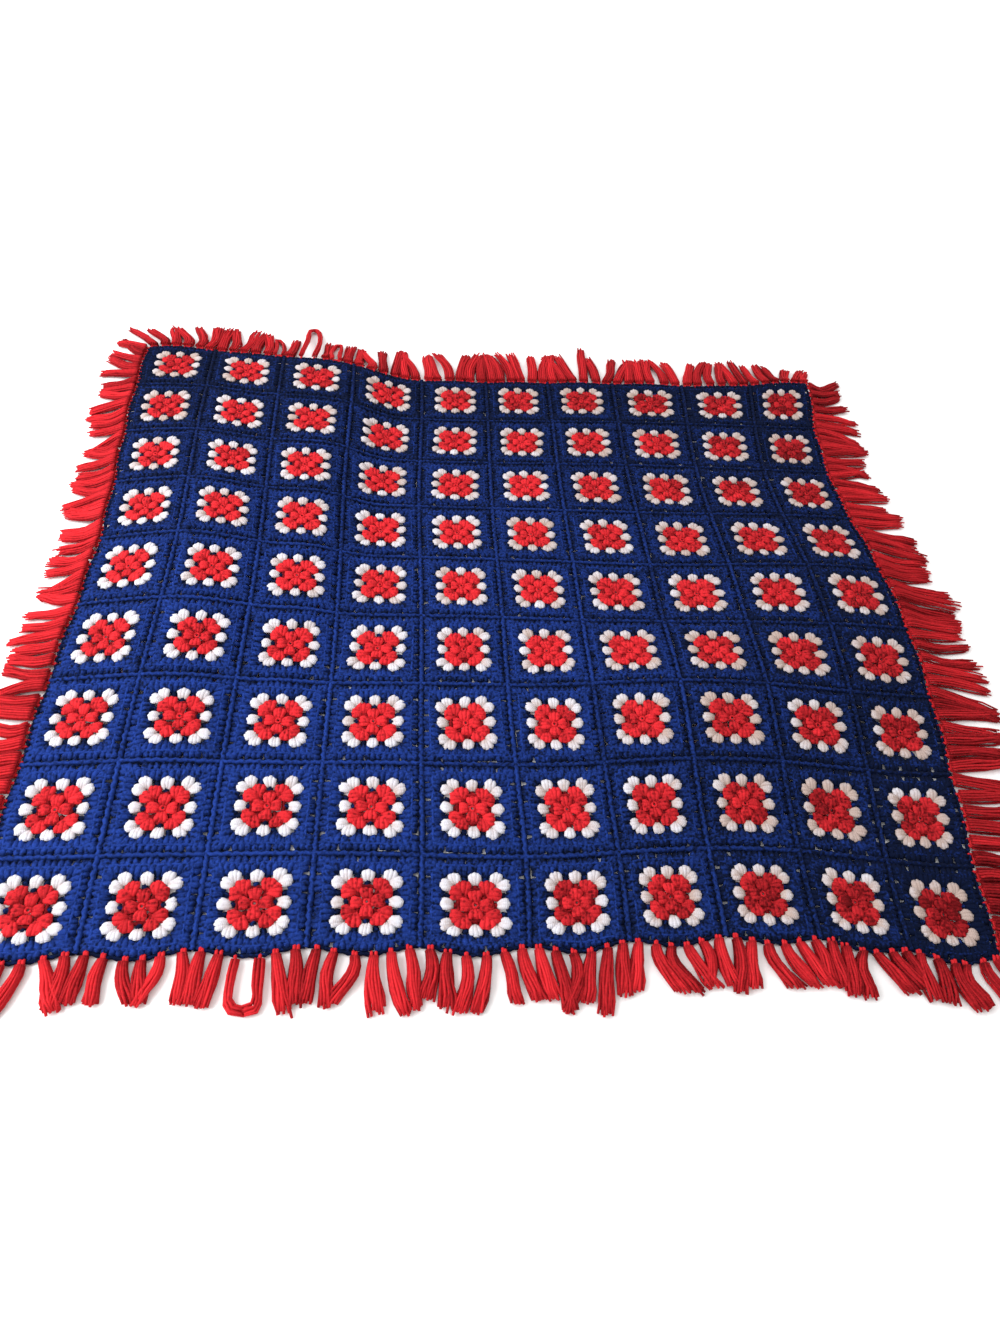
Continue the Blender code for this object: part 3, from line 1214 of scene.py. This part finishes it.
            # Painted light falloff by place, with a random difference.
            tone = float(shade_at((root + MIDDLE)[:2], self.shades))
            tone += loose.gauss(0, self.shades.spread)
            sway = loose.gauss(0, chances.sway)
            spread = loose.uniform(*chances.spread)
            curl = loose.gauss(0, chances.curl)
            tuft = Tuft(root, way, along, length, lean, opening, tone, sway, spread, curl)
            found = [self.strand(tuft, number, loose) for number in range(self.strands)]
            knot = self.knot(tuft, loose)
            if self.opening_of(lock - 1) <= WIDE_LOOP:
                strands += found
                knots += knot
        paths, tones = (np.array(part) for part in zip(*strands))
        knotted = Strands(np.array(knots), KNOT_RADII, np.array(KNOT_TONE), 6)
        return Strands(paths, self.strand_radius * MM * TIPPED, tones), knotted


@dataclass
class Studio:
    """A pale floor, soft light from the left and the camera over the near edge."""

    lens: float = 23.14
    camera_place: Place = (-0.2102, -1.0885, 1.1975)
    camera_turn: Place = (0.6456, -0.0978, -0.0659)
    floor_size: float = 16.0
    floor_colour: tuple[float, ...] = (0.98, 0.98, 0.98, 1.0)
    air_colour: tuple[float, ...] = (1.0, 0.985, 0.97, 1.0)

    def floor(self) -> None:
        """Lay a plain pale floor just under the blanket."""
        bm = bmesh.new()
        bmesh.ops.create_grid(bm, x_segments=1, y_segments=1, size=self.floor_size / 2)
        bmesh.ops.translate(bm, vec=(0, 0, -0.0008), verts=bm.verts[:])
        mesh = bpy.data.meshes.new("floor")
        bm.to_mesh(mesh)
        bm.free()
        paint = bpy.data.materials.new("floor_paint")
        paint.use_nodes = True
        shader = paint.node_tree.nodes["Principled BSDF"]
        look = {"Base Color": self.floor_colour, "Roughness": 0.9, "Specular IOR Level": 0.0}
        set_inputs(paint.node_tree, shader, look)
        mesh.materials.append(paint)
        add_object("floor", mesh)

    def panel(self, name: str, size: Pair, power: float, place: Place, tilt: float) -> None:
        """Hang one soft panel of light.

        Args:
            name: Name of the light.
            size: Width and depth of the panel.
            power: Power in watts.
            place: Where its middle hangs.
            tilt: How far it is turned about Y from facing down, in degrees.
        """
        light = bpy.data.lights.new(name, "AREA")
        light.shape = "RECTANGLE"
        light.size, light.size_y = size
        light.energy = power
        light.color = (0.96, 0.98, 1.0)
        made = add_object(name, light)
        made.location = place
        made.rotation_euler = Euler((0.0, math.radians(tilt), 0.0))

    def lights(self) -> None:
        """Soft light: a pale surround, a large panel at the left and one overhead."""
        scene = bpy.context.scene
        world = bpy.data.worlds.new("surround")
        world.use_nodes = True
        back = world.node_tree.nodes["Background"]
        set_inputs(world.node_tree, back, {"Color": self.air_colour, "Strength": 0.78})
        scene.world = world
        self.panel("panel", (1.6, 2.4), 80.0, (-2.1, -0.3, 1.5), -58.0)
        self.panel("overhead", (6.0, 5.0), 90.0, (1.2, 3.2, 4.0), 0.0)
        scene.view_settings.view_transform = "Standard"
        scene.view_settings.look = "None"

    def camera(self) -> None:
        """Set the camera at the photograph's viewing angle."""
        data = bpy.data.cameras.new("camera")
        data.lens = self.lens
        data.sensor_width = 36.0
        data.dof.use_dof = False
        made = add_object("camera", data)
        made.matrix_world = Matrix.LocRotScale(self.camera_place, Euler(self.camera_turn), None)
        bpy.context.scene.camera = made


def main() -> None:
    """Build the blanket and its setting."""
    drape = Drape()
    field = SquareField(drape, SquarePattern(), np.random.default_rng(SEED))
    # Each yarn's shades: painted light falloff by place, with random differences.
    red = Shades(-0.04, 0.12, east=0.20, edges=0.32, corners=0.08)
    # Painted shadow for the holes between clusters, deepest at the left.
    hollow = Shades(0.85, 0.10, east=-0.20)
    white = Shades(0.32, 0.14, east=0.36, north=0.25, edges=0.06, corners=0.30)
    blue = Shades(0.32, 0.07, east=0.22, north=0.23, edges=0.20, corners=0.25)
    # Ridges a little deeper than the blue around them: painted shade that tones down the raised ridge.
    seam = Shades(0.44, 0.07, east=0.22, north=0.23, edges=0.20, corners=0.25)
    # Painted shadow in the grooves beside the seams: the chain of round 5 at full depth.
    painted_groove_shadow = Shades(1.0, 0.05)
    reds = [field.posts(1, red), field.posts(2, red)]
    # The chain of round 1 takes the hollow shades: painted shadow low between the red clusters.
    reds += [field.chains(1, hollow, lift=2.6, radius=3.2, inset=-0.8), field.hearts(red)]
    reds.append(field.spaces(RED_SPACES, hollow))
    red_rounds = piece("red_rounds", Yarn.RED, reds, CLOTH)
    white_round = piece("white_round", Yarn.WHITE, [field.posts(3, white)], CLOTH)
    blues = [field.posts(4, blue), field.chains(4, blue, lift=5.6, radius=2.4)]
    blues.append(field.spaces(BLUE_SPACES, hollow))
    blues.append(field.spaces(LOOSE_SPACES, hollow, lift=3.4, right_end=LOOSE_END))
    blue_inner = piece("blue_round_inner", Yarn.BLUE, blues, CLOTH)
    blue_outer = piece("blue_round_outer", Yarn.BLUE, [field.posts(5, blue)], CLOTH)
    joins = Joins(drape, np.random.default_rng(SEED + 1))
    seams = [field.chains(5, painted_groove_shadow, lift=2.8, radius=3.2), joins.ridges(seam), joins.whips(blue)]
    joining = piece("joining_seams", Yarn.BLUE, seams, CLOTH)
    tuft_finish = TUFT_FINISH.material()
    for side in SIDES:
        name = side.name.replace("fringe", "tufts")
        groups = list(Fringe(side, drape).tufts())
        piece(name, Yarn.RED, groups, side.name, finish=tuft_finish)
    field.round_area(5)
    studio = Studio()
    studio.floor()
    studio.lights()
    studio.camera()


if __name__ == "__main__":
    main()
